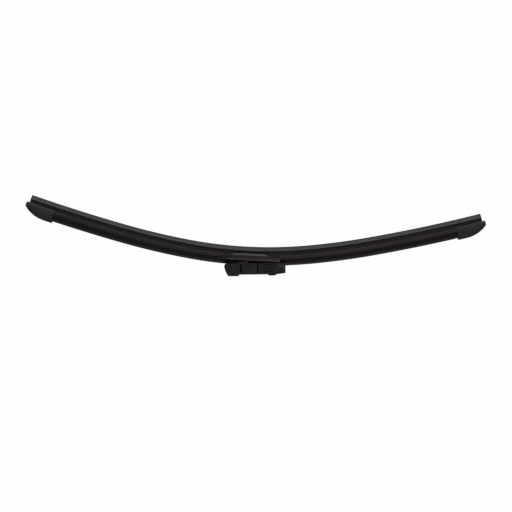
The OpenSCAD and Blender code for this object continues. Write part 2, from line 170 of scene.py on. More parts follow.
class NodeSketch:
    """Adds nodes to a material and joins them."""

    def __init__(self, material: Material) -> None:
        """Starts on the material's own tree."""
        self.tree = material.node_tree

    def join(self, source: NodeSocket, target: NodeSocket) -> None:
        """Links one socket to another."""
        self.tree.links.new(source, target)

    def node(self, kind: str) -> Node:
        """Adds a shader node of a kind."""
        return self.tree.nodes.new("ShaderNode" + kind)

    def coordinates(self, output: str) -> NodeSocket:
        """Gives the named texture coordinates."""
        return self.node("TexCoord").outputs[output]

    def stretched(self, where: NodeSocket, scale: tuple[float, float, float]) -> NodeSocket:
        """Scales coordinates.

        Args:
            where: the coordinates.
            scale: factor along each axis.

        Returns:
            The scaled coordinates.
        """
        mapping = self.node("Mapping")
        mapping.inputs["Scale"].default_value = scale
        self.join(where, mapping.inputs["Vector"])
        return mapping.outputs["Vector"]

    def noise(self, where: NodeSocket, scale: float, detail: float) -> NodeSocket:
        """Adds a noise.

        Args:
            where: the coordinates.
            scale: how many cells there are to a unit.
            detail: octaves of the noise.

        Returns:
            The noise's value.
        """
        noise = self.node("TexNoise")
        noise.inputs["Scale"].default_value = scale
        noise.inputs["Detail"].default_value = detail
        noise.inputs["Roughness"].default_value = 0.6
        self.join(where, noise.inputs["Vector"])
        return noise.outputs["Fac"]

    def cells(self, where: NodeSocket, scale: float) -> NodeSocket:
        """Adds the pebbled cells of a spark-eroded mould.

        Args:
            where: the coordinates.
            scale: how many cells there are to a metre.

        Returns:
            The distance to the nearest cell's middle.
        """
        cells = self.node("TexVoronoi")
        cells.feature = "SMOOTH_F1"
        cells.inputs["Scale"].default_value = scale
        cells.inputs["Smoothness"].default_value = 0.6
        self.join(where, cells.inputs["Vector"])
        return cells.outputs["Distance"]

    def mix(self, first: NodeSocket, second: NodeSocket, share: float) -> NodeSocket:
        """Mixes two values.

        Args:
            first: the value at a share of 0.
            second: the value at a share of 1.
            share: how much of the second is taken.

        Returns:
            The mixed value.
        """
        mix = self.node("Mix")
        mix.data_type = "FLOAT"
        mix.inputs["Factor"].default_value = share
        self.join(first, mix.inputs["A"])
        self.join(second, mix.inputs["B"])
        return mix.outputs["Result"]

    def ramp(
        self,
        value: NodeSocket,
        low: float,
        dark: tuple[float, float, float, float],
        high: float,
        light: tuple[float, float, float, float],
    ) -> NodeSocket:
        """Turns a value into a colour.

        Args:
            value: the value.
            low: value at which the colour is dark.
            dark: the dark colour.
            high: value at which the colour is light.
            light: the light colour.

        Returns:
            The colour.
        """
        ramp = self.node("ValToRGB")
        first, last = ramp.color_ramp.elements
        first.position, first.color = low, dark
        last.position, last.color = high, light
        self.join(value, ramp.inputs["Fac"])
        return ramp.outputs["Color"]

    def remap(
        self, value: NodeSocket, low: float, high: float, to_low: float, to_high: float
    ) -> NodeSocket:
        """Maps a value from one range to another, and clamps it there.

        Args:
            value: the value.
            low: start of its range.
            high: end of its range.
            to_low: what the start becomes.
            to_high: what the end becomes.

        Returns:
            The mapped value.
        """
        remap = self.node("MapRange")
        for name, number in zip(
            ("From Min", "From Max", "To Min", "To Max"), (low, high, to_low, to_high)
        ):
            remap.inputs[name].default_value = number
        self.join(value, remap.inputs["Value"])
        return remap.outputs["Result"]

    def bump(self, height: NodeSocket, strength: float, depth_mm: float) -> NodeSocket:
        """Turns a height into a bumped normal.

        Args:
            height: the height.
            strength: strength of the bump.
            depth_mm: depth of the relief in millimetres.

        Returns:
            The normal.
        """
        bump = self.node("Bump")
        bump.inputs["Strength"].default_value = strength
        bump.inputs["Distance"].default_value = depth_mm * MM
        self.join(height, bump.inputs["Height"])
        return bump.outputs["Normal"]


LIP_RUBBER = Finish(
    "lip_rubber_graphite", (0.074, 0.070, 0.070), Surface.EXTRUDED, lift=0.35, rough=(0.55, 0.68),
    patch=11, grain=0.2, relief=0.2, tint=(1.0, 0.93, 0.93),
)
BODY_RUBBER = Finish(
    "body_rubber_black", (0.0175, 0.0158, 0.0168), Surface.EXTRUDED, lift=0.6, rough=(0.5, 0.64),
    patch=12, grain=0.25, relief=0.3,
)
SPOILER_ELASTOMER = Finish(
    "spoiler_matte_elastomer", (0.0125, 0.0107, 0.0125), Surface.EXTRUDED, lift=0.6,
    rough=(0.38, 0.5), patch=16, grain=0.3, relief=0.25,
)
CAP_PLASTIC = Finish(
    "cap_grained_plastic", (0.050, 0.046, 0.050), Surface.MOULDED, lift=0.2, rough=(0.6, 0.72),
    patch=10, grain=0.32, relief=0.3, specular=0.3,
)
COVER_PLASTIC = Finish(
    "cover_grained_plastic", (0.014, 0.012, 0.014), Surface.MOULDED, lift=0.4, rough=(0.27, 0.35),
    patch=9, grain=0.3, relief=0.07, specular=0.65,
)
# Painted highlight: a lighter colour that stands in for the light caught along the cover's rounded lower
# edge.
COVER_PAINTED_HIGHLIGHT = Finish(
    "cover_painted_highlight_edge", (0.074, 0.070, 0.074), Surface.MOULDED, lift=0.2, rough=(0.34, 0.42),
    patch=9, grain=0.3, relief=0.07,
)
ADAPTER_PLASTIC = Finish(
    "adapter_grained_plastic", (0.0095, 0.0083, 0.0095), Surface.MOULDED, lift=0.35,
    rough=(0.46, 0.56), patch=8, grain=0.26, relief=0.12,
)
# Painted light: the adapter's plastic coloured lighter for the tail, standing in for the light that falls
# on it.
ADAPTER_TAIL_PAINTED_LIGHT = Finish(
    "adapter_tail_painted_light", (0.029, 0.026, 0.029), Surface.MOULDED, lift=0.2, rough=(0.42, 0.5),
    patch=8, grain=0.26, relief=0.1,
)
# Painted shade: near black for the floors of the finger grooves, standing in for the shade in them.
ADAPTER_GROOVE_PAINTED_SHADE = Finish(
    "adapter_groove_painted_shade", (0.004, 0.004, 0.004), Surface.MOULDED, lift=0.2, rough=(0.7, 0.8),
    patch=8, grain=0.26, relief=0.1,
)
RAIL_PAINT = Finish(
    "rail_black_paint", (0.012, 0.012, 0.013), Surface.PAINTED, lift=0.5, rough=(0.34, 0.5),
    patch=12, grain=0.8, relief=0.2, coat=0.1,
)
CLAMP_PAINT = Finish(
    "clamp_black_paint", (0.006, 0.006, 0.006), Surface.PAINTED, lift=0.5, rough=(0.55, 0.7),
    patch=8, grain=0.7, relief=0.3, specular=0.2,
)
PIN_STEEL = Finish(
    "pin_blackened_steel", (0.03, 0.03, 0.032), Surface.PAINTED, lift=0.6, rough=(0.3, 0.45),
    patch=5, grain=0.4, relief=0.2, metallic=0.7,
)


@dataclass(frozen=True)
class Corner:
    """One corner of a blade section, in millimetres.

    Attributes:
        height: height above the lip's edge.
        across: distance from the middle of the blade, across it.
        rounding: how far from the corner its rounding starts.
    """

    height: float
    across: float
    rounding: float = 0.0

    def mirrored(self) -> Corner:
        """Gives the same corner on the other side of the blade."""
        return Corner(self.height, -self.across, self.rounding)


def arc_corners(
    centre: tuple[float, float], radius: float, start: float, end: float, steps: int
) -> list[Corner]:
    """Lays corners along an arc of a section.

    Args:
        centre: height and distance across of the arc's centre.
        radius: the arc's radius.
        start: angle of its first corner in degrees, from the height's direction.
        end: angle of its last corner.
        steps: how many steps it has.

    Returns:
        The corners, from start to end.
    """
    turns = [math.radians(start + (end - start) * k / steps) for k in range(steps + 1)]
    return [
        Corner(centre[0] + radius * math.cos(a), centre[1] + radius * math.sin(a)) for a in turns
    ]


@dataclass(frozen=True)
class Arc:
    """One arc of the bow's half, in the blade's own coordinates, in millimetres.

    Attributes:
        start: where it starts along the lip, from the bow's middle.
        angle: its angle there, in radians.
        radius: radius of the lip's edge.
        x: how far out its centre is.
        z: height of its centre.
    """

    start: float
    angle: float
    radius: float
    x: float
    z: float

    def next(self, turn: float, radius: float) -> Arc:
        """Gives the arc that follows smoothly.

        Args:
            turn: angle that this arc turns through, in radians.
            radius: the next arc's radius.

        Returns:
            The next arc.
        """
        angle = self.angle + turn
        gap = self.radius - radius
        return Arc(
            self.start + self.radius * turn, angle, radius,
            self.x + gap * math.sin(angle), self.z + gap * math.cos(angle),
        )


@dataclass(frozen=True)
class Bow:
    """The free bow of the blade: arcs that meet smoothly, the same on both sides of its middle.

    Attributes:
        radii: radius of the lip's edge on each arc, from the middle outwards, in millimetres.
        turns: angle that the first arcs turn through on each side, in degrees.
        behind: how far the pin is behind the bow's middle, in millimetres.
        pin_height: height of the pin above the lip's edge, in millimetres.
        tilt: tilt of the blade against the arm, in degrees.
        step: longest step of the spin along the lip, in millimetres.
    """

    radii: tuple[float, float, float] = (469.0, 781.0, 1720.0)
    turns: tuple[float, float] = (8.0, 4.8)
    behind: float = 5.0
    pin_height: float = 22.85
    tilt: float = 3.5
    step: float = 5.0

    def seat(self) -> Matrix:
        """Gives the move from the blade's own coordinates to the arm's frame."""
        shift = Vector((-self.behind, 0, -self.pin_height)) * MM
        return Matrix.Rotation(math.radians(-self.tilt), 4, "Y") @ Matrix.Translation(shift)

    def arcs(self) -> list[Arc]:
        """Lists the arcs of one half of the bow, from its middle outwards."""
        found = [Arc(0.0, 0.0, self.radii[0], 0.0, -self.radii[0])]
        for turn, radius in zip(self.turns, self.radii[1:]):
            found.append(found[-1].next(math.radians(turn), radius))
        return found

    def arc_at(self, along: float) -> Arc:
        """Gives the arc that holds a distance along the lip, in millimetres."""
        return [arc for arc in self.arcs() if arc.start <= abs(along)][-1]

    def place(self, along: float, height: float, across: float) -> Vector:
        """Places a point of a section.

        Args:
            along: distance along the lip from the bow's middle, in millimetres.
            height: height above the lip's edge.
            across: distance across the blade.

        Returns:
            The point in metres, in the arm's frame.
        """
        arc = self.arc_at(along)
        turned = arc.angle + (abs(along) - arc.start) / arc.radius
        reach = arc.radius + height
        out, up = arc.x + reach * math.sin(turned), arc.z + reach * math.cos(turned)
        return self.seat() @ (Vector((math.copysign(out, along), across, up)) * MM)

    def locate(self, point: Vector) -> tuple[float, float]:
        """Finds where a point is along the blade and how high, in millimetres.

        Args:
            point: the point in metres, in the arm's frame.

        Returns:
            Its distance along the lip from the bow's middle, and its height above the lip's edge.
        """
        flat = self.seat().inverted() @ point / MM
        along, height = 0.0, 0.0
        for arc in self.arcs():
            out, up = abs(flat.x) - arc.x, flat.z - arc.z
            turned = math.atan2(out, up)
            if turned >= arc.angle - 1e-9:
                along = arc.start + (turned - arc.angle) * arc.radius
                height = math.hypot(out, up) - arc.radius
        return math.copysign(along, flat.x), height

    def spin_stages(self, start: float, end: float) -> list[tuple[Vector, float, int]]:
        """Splits a stretch of the bow into the spins that make it.

        Args:
            start: its start along the lip, in millimetres.
            end: its end.

        Returns:
            Centre in metres, angle in radians and number of steps of each spin.
        """
        joins = [sign * arc.start for arc in self.arcs()[1:] for sign in (-1, 1)]
        marks = sorted({start, end, *(join for join in joins if start < join < end)})
        stages = []
        for low, high in zip(marks, marks[1:]):
            middle = (low + high) / 2
            arc = self.arc_at(middle)
            centre = self.seat() @ (Vector((math.copysign(1, middle) * arc.x, 0, arc.z)) * MM)
            stages.append((centre, (high - low) / arc.radius, math.ceil((high - low) / self.step)))
        return stages


@dataclass
class Piece:
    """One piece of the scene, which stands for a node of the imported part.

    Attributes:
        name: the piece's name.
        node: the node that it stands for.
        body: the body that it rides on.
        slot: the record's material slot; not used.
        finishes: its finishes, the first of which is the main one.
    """

    name: str
    node: str
    body: str
    slot: str
    finishes: tuple[Finish, ...]

    def publish(self, mesh: bmesh.types.BMesh) -> Object:
        """Turns a finished mesh into the piece's object, dresses it, puts it on its body and hides the
        node.

        Args:
            mesh: the mesh, which is freed.

        Returns:
            The piece's object.
        """
        data = bpy.data.meshes.new(self.name)
        mesh.to_mesh(data)
        mesh.free()
        data.shade_smooth()
        data.set_sharp_from_angle(angle=SHADED_SHARP_FROM)
        for finish in self.finishes:
            data.materials.append(finish.material())
        made = bpy.data.objects.new(self.name, data)
        bpy.context.scene.collection.objects.link(made)
        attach(made, self.body)
        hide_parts(self.node)
        LOG.info("%s: %d faces, on body %s", self.name, len(data.polygons), self.body)
        return made


@dataclass
class Sweep:
    """A section that is carried along the bow.

    Attributes:
        bow: the bow.
        corners: the section's closed loop.
        start: where it starts along the lip, in millimetres.
        end: where it ends.
        round_steps: segments of a rounded corner.
    """

    bow: Bow
    corners: list[Corner]
    start: float
    end: float
    round_steps: int = 3

    def build(self) -> bmesh.types.BMesh:
        """Makes the section's face, rounds its corners, and spins it along each arc of the bow.

        Returns:
            The closed mesh, with a UV map in metres: along the blade, and round the section.
        """
        mesh = bmesh.new()
        loop = [mesh.verts.new(self.bow.place(self.start, c.height, c.across)) for c in self.corners]
        mesh.faces.new(loop)
        for rounding in sorted({c.rounding for c in self.corners if c.rounding > 0}):
            picked = [v for v, c in zip(loop, self.corners) if c.rounding == rounding]
            bmesh.ops.bevel(
                mesh, geom=picked, offset=rounding * MM, segments=self.round_steps, profile=0.5,
                affect="VERTICES", material=-1,
            )
        self.mark_round(mesh)
        front = [*mesh.verts, *mesh.edges, *mesh.faces]
        for centre, angle, steps in self.bow.spin_stages(self.start, self.end):
            spun = bmesh.ops.spin(
                mesh, geom=front, cent=centre, axis=(0, 1, 0), angle=angle, steps=steps, use_merge=False
            )
            front = spun["geom_last"]
        bmesh.ops.recalc_face_normals(mesh, faces=mesh.faces)
        self.map_surface(mesh)
        return mesh

    @staticmethod
    def mark_round(mesh: bmesh.types.BMesh) -> None:
        """Stores on each corner of the only face how far round the section it lies."""
        layer = mesh.verts.layers.float.new("round")
        mesh.faces.ensure_lookup_table()
        distance = 0.0
        for corner in mesh.faces[0].loops:
            corner.vert[layer] = distance
            distance += corner.edge.calc_length()

    def map_surface(self, mesh: bmesh.types.BMesh) -> None:
        """Lays the UV map: distance along the blade, and round its section, in metres."""
        layer = mesh.verts.layers.float["round"]
        around = max(v[layer] for v in mesh.verts)
        grid = mesh.loops.layers.uv.new("along_and_round")
        for face in mesh.faces:
            highest = max(c.vert[layer] for c in face.loops)
            for corner in face.loops:
                distance = corner.vert[layer]
                if highest - distance > around / 2 and len(face.verts) == 4:
                    distance += around
                corner[grid].uv = (self.bow.locate(corner.vert.co)[0] * MM, distance)


def closed_section(half: list[Corner]) -> list[Corner]:
    """Adds a half section's mirror image to it.

    Args:
        half: corners on one side, from low to high.

    Returns:
        The closed loop.
    """
    return half + [c.mirrored() for c in reversed(half)]


@dataclass
class RubberElement:
    """The wiping rubber: lip, shoulder, neck, body, rail grooves and head, in one extrusion.

    Attributes:
        bow: the bow that it lies along.
        start: its front end along the lip, in millimetres.
        end: its rear end.
        shoulder: height of the lip's shoulder.
        groove: height of the rail groove's floor.
    """

    bow: Bow
    start: float = -240.9
    end: float = 255.7
    shoulder: float = 4.9
    groove: float = 10.55

    def section(self) -> list[Corner]:
        """Gives the rubber's closed section."""
        steep, radius, edge = 75, 7.8, (0.8, 0.42)
        flank = (
            edge[0] - radius * math.cos(math.radians(steep)),
            edge[1] + radius * math.sin(math.radians(steep)),
        )
        neck = self.shoulder + 1
        head = self.groove + 1.0
        half = [
            Corner(0, 0.35, 0.08),
            *arc_corners(flank, radius, -steep, -45, 12),
            Corner(self.shoulder - 0.4, 2.7, 0.1),
            Corner(self.shoulder, 2.7, 0.2),
            Corner(self.shoulder + 0.1, 0.45, 0.2),
            Corner(neck, 0.45, 0.2),
            Corner(neck + 0.1, 1.5, 0.15),
            Corner(neck + 0.7, 1.8, 0.15),
            Corner(neck + 1.2, 1.8, 0.15),
            Corner(neck + 1.5, 1.5, 0.15),
            Corner(self.groove - 1.7, 1.5, 0.2),
            Corner(self.groove - 1.3, 2.6, 0.15),
            Corner(self.groove, 2.6, 0.12),
            Corner(self.groove, 1.4, 0.1),
            Corner(head, 1.4, 0.1),
            Corner(head, 3.15, 0.12),
            Corner(head + 1.05, 3.15, 0.2),
            Corner(head + 1.45, 2.65, 0.2),
        ]
        return closed_section(half)

    def build(self) -> Object:
        """Builds the rubber, with graphite on its lip's flanks and none on the edge cut last.

        Returns:
            The rubber's object.
        """
        mesh = Sweep(self.bow, self.section(), self.start, self.end).build()
        cut_edge, dusted = 0.5, self.shoulder - 0.75
        for face in mesh.faces:
            if cut_edge < self.bow.locate(face.calc_center_median())[1] < dusted:
                face.material_index = 1
        piece = Piece("rubber_element", "wiper_rubber", "blade", "lip_rubber", (BODY_RUBBER, LIP_RUBBER))
        return piece.publish(mesh)


@dataclass
class SpringRails:
    """The two sprung steel strips that hold the bow, one in each side groove of the rubber.

    Attributes:
        bow: the bow that they hold.
        start: their front end along the lip, in millimetres.
        end: their rear end.
        height: height of their underside.
        thickness: their thickness.
        inner: distance of their inner edge from the middle.
        width: their width.
    """

    bow: Bow
    start: float = -239.5
    end: float = 254.3
    height: float = 10.6
    thickness: float = 0.9
    inner: float = 1.45
    width: float = 3.55

    def build(self, name: str, node: str, turned: int) -> Object:
        """Builds one rail, with rolled edges and softened ends.

        Args:
            name: the piece's name.
            node: the node that it stands for.
            turned: 1 for the rail on +Y, -1 for the other.

        Returns:
            The rail's object.
        """
        near, far = self.inner, self.inner + self.width
        top = self.height + self.thickness
        loop = [
            Corner(self.height, turned * near, 0.15),
            Corner(self.height, turned * far, 0.3),
            Corner(top, turned * far, 0.3),
            Corner(top, turned * near, 0.15),
        ]
        mesh = Sweep(self.bow, loop, self.start, self.end).build()
        ends = [f for f in mesh.faces if len(f.verts) > 4]
        rim = [e for f in ends for e in f.edges]
        bmesh.ops.bevel(
            mesh, geom=rim, offset=0.15 * MM, segments=2, profile=0.5, affect="EDGES",
            clamp_overlap=True, material=-1,
        )
        return Piece(name, node, "blade", "spring_steel", (RAIL_PAINT,)).publish(mesh)


@dataclass
class Spoiler:
    """One half of the spoiler, a finned extrusion that claws round the rails.

    Attributes:
        bow: the bow that it lies along.
        side: which half it is.
        start: its start along the lip, in millimetres.
        end: its end.
        ridge: height of its ridge.
        claw: height of its claws' underside.
    """

    bow: Bow
    side: Side
    start: float
    end: float
    ridge: float = 20.2
    claw: float = 9.3

    def section(self) -> list[Corner]:
        """Gives the spoiler's closed section: claw, fin, claw, and back along the inside."""
        head = self.claw + 2.25
        outer = [
            *arc_corners((self.claw + 1.2, 4.8), 1.2, 180, 90, 8),
            Corner(12.8, 5.95, 0.5),
            Corner(13.7, 5.3, 0.5),
            *arc_corners((self.ridge + 1, 8.7), 8, 207, 252, 12),
            Corner(self.ridge - 0.7, 1.0, 0.2),
            Corner(self.ridge - 0.2, 0.75, 0.15),
            Corner(self.ridge, 0.3, 0.15),
        ]
        inner = [
            Corner(head + 1.8, 3.45, 0.3),
            Corner(head, 3.45, 0.1),
            Corner(head, 5.05, 0.1),
            Corner(head - 1.0, 5.05, 0.1),
            Corner(head - 1.0, 3.75, 0.1),
            Corner(self.claw, 3.75, 0.2),
        ]
        return closed_section(outer) + [c.mirrored() for c in reversed(inner)] + inner

    def build(self) -> Object:
        """Builds this half of the spoiler.

        Returns:
            Its object.
        """
        mesh = Sweep(self.bow, self.section(), self.start, self.end).build()
        piece = Piece(
            f"{self.side.value}_spoiler", f"spoiler_{self.side.value}", "blade", "spoiler_elastomer",
            (SPOILER_ELASTOMER,),
        )
        return piece.publish(mesh)


def soften(
    mesh: bmesh.types.BMesh, edges: list[bmesh.types.BMEdge], width: float, narrowed: bool
) -> None:
    """Rounds edges of a mesh.

    Args:
        mesh: the mesh.
        edges: the edges.
        width: width of the rounding in millimetres.
        narrowed: whether the rounding is narrowed until it fits everywhere.
    """
    bmesh.ops.bevel(
        mesh, geom=edges, offset=width * MM, offset_type="OFFSET", segments=3, profile=0.5,
        affect="EDGES", clamp_overlap=narrowed, material=-1,
    )


def sharp_edges(mesh: bmesh.types.BMesh) -> list[bmesh.types.BMEdge]:
    """Lists the edges of a mesh that are sharp enough to be rounded."""
    return [
        e for e in mesh.edges if len(e.link_faces) == 2 and e.calc_face_angle(0) > ROUNDED_FROM
    ]


def softened(node: Object, width: float, inner_x: float | None = None) -> bmesh.types.BMesh:
    """Copies a node of the frame with its flat faces whole and its sharp edges rounded.

    The rounding has to stay below half of the node's thinnest wall, and nothing of it leaves the
    node's own box.

    Args:
        node: the node's object.
        width: width of the rounding in millimetres.
        inner_x: x of a hidden face with thin legs, whose edges stay sharp, in millimetres.

    Returns:
        The rounded mesh.
    """
    mesh = bmesh.new()
    mesh.from_mesh(node.data)
    bmesh.ops.remove_doubles(mesh, verts=mesh.verts, dist=1e-7)
    bmesh.ops.dissolve_limit(
        mesh, angle_limit=math.radians(0.5), use_dissolve_boundaries=False, verts=mesh.verts,
        edges=mesh.edges,
    )
    low = [min(v.co[axis] for v in mesh.verts) for axis in range(3)]
    high = [max(v.co[axis] for v in mesh.verts) for axis in range(3)]
    edges = sharp_edges(mesh)
    if inner_x is not None:
        edges = [e for e in edges if any(abs(v.co.x / MM - inner_x) > 0.02 for v in e.verts)]
    soften(mesh, edges, width, narrowed=False)
    for vert in mesh.verts:
        vert.co = [min(max(at, lowest), highest) for at, lowest, highest in zip(vert.co, low, high)]
    return mesh


def add_box(
    mesh: bmesh.types.BMesh,
    along: tuple[float, float],
    across: tuple[float, float],
    height: tuple[float, float],
) -> None:
    """Adds a box to a mesh.

    Args:
        mesh: the mesh.
        along: where it starts and ends along X in millimetres.
        across: the same along Y.
        height: the same along Z.
    """
    spans = (along, across, height)
    box = bmesh.ops.create_cube(mesh, size=MM)["verts"]
    bmesh.ops.scale(mesh, vec=Vector([end - start for start, end in spans]), verts=box)
    bmesh.ops.translate(mesh, vec=Vector([sum(span) / 2 for span in spans]) * MM, verts=box)


def carved(solid: bmesh.types.BMesh, cutters: list[bmesh.types.BMesh]) -> bmesh.types.BMesh:
    """Cuts closed meshes out of another.

    Args:
        solid: the mesh that is cut, which is freed.
        cutters: the meshes that are cut out of it, which are freed.

    Returns:
        The cut mesh.
    """
    blocks = []
    for mesh in (solid, *cutters):
        data = bpy.data.meshes.new("carving")
        mesh.to_mesh(data)
        mesh.free()
        blocks.append(bpy.data.objects.new("carving", data))
        bpy.context.scene.collection.objects.link(blocks[-1])
    for cutter in blocks[1:]:
        cut = blocks[0].modifiers.new(cutter.name, "BOOLEAN")
        cut.operation, cut.solver, cut.object = "DIFFERENCE", "EXACT", cutter
    graph = bpy.context.evaluated_depsgraph_get()
    result = bmesh.new()
    result.from_object(blocks[0], graph)
    for block in blocks:
        data = block.data
        bpy.data.objects.remove(block)
        bpy.data.meshes.remove(data)
    bmesh.ops.remove_doubles(result, verts=result.verts, dist=1e-6)
    return result


@dataclass
class EndCap:
    """A moulded hood over one end of the rails, the rubber and the spoiler.

    A place along it is its distance from the hood's tip. All lengths are in millimetres.

    Attributes:
        bow: the bow that it lies along.
        side: which end it closes.
        lip_end: where the lip ends, along the lip from the bow's middle.
        over: how far the hood's tip reaches past the lip's end.
        length: its length.
        half_width: half its width.
        top: height of its top.
        waist: height up to which its foot is rounded.
        foot: height of its underside.
        wall: thickness of its wall.
        spoiler_end: where the spoiler ends inside it.
    """

    bow: Bow
    side: Side
    lip_end: float
    over: float = 3.3
    length: float = 32.6
    half_width: float = 7.4
    top: float = 22.2
    waist: float = 10.3
    foot: float = 8.3
    wall: float = 1.25
    spoiler_end: float = 17.5

    def top_at(self, place: float) -> float:
        """Gives the height of the top, which falls off along an arc towards the tip."""
        crest, radius = 23.5, 35.2
        return self.top - radius + math.sqrt(radius**2 - max(crest - place, 0) ** 2)

    def foot_at(self, place: float) -> float:
        """Gives the height of the underside, which is rounded at the tip."""
        radius = 1.5
        return self.foot + radius - math.sqrt(radius**2 - max(radius - place, 0) ** 2)

    def half_width_at(self, place: float) -> float:
        """Gives half the width, which is rounded at the tip in plan."""
        radius = 9.0
        return min(self.half_width, math.sqrt(radius**2 - max(radius - place, 0) ** 2))

    def flank(self, inset: float) -> list[Corner]:
        """Gives one side of the hood's section.

        Args:
            inset: how far it is moved in from the outer skin.

        Returns:
            Corners from the foot to the top.
        """
        foot_radius, side_radius, side_centre, top_half_width = 2, 24.6, (6.5, -16.5), 1.9
        foot_centre = (self.waist, self.half_width - foot_radius)
        return [
            *arc_corners(foot_centre, foot_radius - inset, 180, 90, 6),
            *arc_corners(side_centre, side_radius - inset, 76, 52.5, 8),
            Corner(self.top - inset, top_half_width - inset / 2, 0.3),
        ]

    def stretch(self, corners: list[Corner], near: float, far: float) -> bmesh.types.BMesh:
        """Carries a section along the hood, and fits it to the hood's outline and plan.

        Args:
            corners: the section's closed loop.
            near: where it starts, from the tip.
            far: where it ends.

        Returns:
            The closed mesh.
        """
        tip = self.lip_end + self.over
        start, end = tip - far, tip - near
        if self.side is Side.LEFT:
            start, end = -end, -start
        mesh = Sweep(replace(self.bow, step=0.8), corners, start, end).build()
        for vert in mesh.verts:
            along, height = self.bow.locate(vert.co)
            place = tip - abs(along)
            if height > self.waist:
                shrink = (self.top_at(place) - self.waist) / (self.top - self.waist)
            else:
                shrink = (self.waist - self.foot_at(place)) / (self.waist - self.foot)
            across = vert.co.y / MM * self.half_width_at(place) / self.half_width
            vert.co = self.bow.place(along, self.waist + (height - self.waist) * shrink, across)
        return mesh

    def build(self) -> Object:
        """Builds the hood, hollow over the spoiler and grooved for the rubber and the rails.

        Returns:
            Its object.
        """
        below, mouth, floor = self.foot - 1, 3.75, self.foot + 0.85
        rail_floor, rail_roof, rail_half_width = 10.45, 11.65, 5.2
        head_roof, head_half_width = 13.2, 3.35
        room = [
            Corner(below, mouth), Corner(floor, mouth), Corner(floor, 5.5),
            *self.flank(self.wall)[2:],
        ]
        groove = [
            Corner(below, mouth), Corner(rail_floor, mouth), Corner(rail_floor, rail_half_width),
            Corner(rail_roof, rail_half_width), Corner(rail_roof, head_half_width),
            Corner(head_roof, head_half_width),
        ]
        solid = self.stretch(closed_section(self.flank(0)), 0.1, self.length)
        cutters = [
            self.stretch(closed_section(room), self.spoiler_end - 0.5, self.length + 1),
            self.stretch(closed_section(groove), 2.6, self.spoiler_end + 0.5),
        ]
        mesh = carved(solid, cutters)
        soften(mesh, sharp_edges(mesh), 0.22, narrowed=True)
        piece = Piece(
            f"{self.side.value}_cap", f"end_cap_{self.side.value}", "blade", "cap_plastic", (CAP_PLASTIC,)
        )
        return piece.publish(mesh)


@dataclass
class Connector:
    """What joins the blade to its arm: clamp, cover, pin, adapter and button.

    Sizes in its methods are in millimetres, and heights are measured from the pin.

    Attributes:
        nodes: the frame's nodes by name.
        bow: the bow, whose tilt the clamp and the cover share.
    """

    nodes: dict[str, Object]
    bow: Bow

    def build(self) -> list[Object]:
        """Builds the connector's pieces.

        Returns:
            Their objects.
        """
        return [
            self.clamp(),
            self.cover(),
            Piece("hinge_pin", "pivot_pin", "blade", "pin_steel", (PIN_STEEL,)).publish(
                softened(self.nodes["pivot_pin"], 0.3)
            ),
            self.adapter(),
            self.button(),
        ]

    def blade_turn(self) -> Matrix:
        """Gives the turn from the blade's own directions to the arm's."""
        return Matrix.Rotation(math.radians(-self.bow.tilt), 4, "Y")

    def cover(self) -> Object:
        """Builds the cover, whose rounded lower edge is coloured lighter as a painted highlight.

        Returns:
            Its object.
        """
        mesh = softened(self.nodes["base_cover"], 0.26, inner_x=23.45)
        upright = self.blade_turn().inverted()
        highlight_band_top, highlight_band_end, skin = -13.1, 17.0, 7.0
        # Painted highlight: faces of the rounded lower edge, up to 17 mm back, take the lighter colour.
        for face in mesh.faces:
            centre = upright @ face.calc_center_median() / MM
            if centre.z < highlight_band_top and centre.x < highlight_band_end and abs(centre.y) > skin:
                face.material_index = 1
        piece = Piece("wing_cover", "base_cover", "blade", "cover_plastic", (COVER_PLASTIC, COVER_PAINTED_HIGHLIGHT))
        return piece.publish(mesh)

    def clamp(self) -> Object:
        """Builds the steel clamp, with the lower edges of its side walls bedded on the cover.

        Returns:
            Its object.
        """
        mesh = bmesh.new()
        mesh.from_mesh(self.nodes["rail_clamp"].data)
        turn = self.blade_turn()
        edge_height, walls_from, bedded = -7.7, 21.4, 0.25
        for vert in mesh.verts:
            flat = turn.inverted() @ vert.co
            if abs(flat.z / MM - edge_height) < 0.05 and abs(flat.x) > walls_from * MM:
                vert.co = turn @ (flat - Vector((0, 0, bedded * MM)))
        bmesh.ops.remove_doubles(mesh, verts=mesh.verts, dist=1e-7)
        return Piece("clamp_plate", "rail_clamp", "blade", "clamp_steel", (CLAMP_PAINT,)).publish(mesh)

    def adapter(self) -> Object:
        """Builds the adapter's moulding: rib behind its shoulder, a tail coloured lighter as painted
        light, and finger grooves coloured near black as painted shade.

        Returns:
            Its object.
        """
        mesh = softened(self.nodes["arm_adapter"], 0.16, inner_x=35.6)
        tail_from, grooves_along, grooves_across, grooves_up_to = 30.2, (13.5, 24.0), (7.1, 7.8), 4.4
        for face in mesh.faces:
            centre = face.calc_center_median() / MM
            # Painted light: the tail's faces take the lighter colour.
            if centre.x > tail_from:
                face.material_index = 1
            # Painted shade: faces in the finger grooves take the near-black colour.
            elif (
                grooves_along[0] < centre.x < grooves_along[1]
                and grooves_across[0] < abs(centre.y) < grooves_across[1]
                and abs(centre.z) < grooves_up_to
            ):
                face.material_index = 2
        add_box(mesh, along=(-12.2, -10.0), across=(-4.2, 4.2), height=(-5.2, 5.8))
        piece = Piece(
            "channel_adapter", "arm_adapter", "adapter", "adapter_plastic",
            (ADAPTER_PLASTIC, ADAPTER_TAIL_PAINTED_LIGHT, ADAPTER_GROOVE_PAINTED_SHADE),
        )
        return piece.publish(mesh)

    def button(self) -> Object:
        """Builds the release button, whose nail groove is closed at both ends.

        Returns:
            Its object.
        """
        mesh = softened(self.nodes["release_button"], 0.2)
        for groove_end in ((-3.95, -3.3), (3.3, 3.95)):
            add_box(mesh, along=(21.5, 23.8), across=groove_end, height=(7.8, 8.5))
        piece = Piece(
            "push_button", "release_button", "button", "adapter_plastic", (ADAPTER_PLASTIC,)
        )
        return piece.publish(mesh)


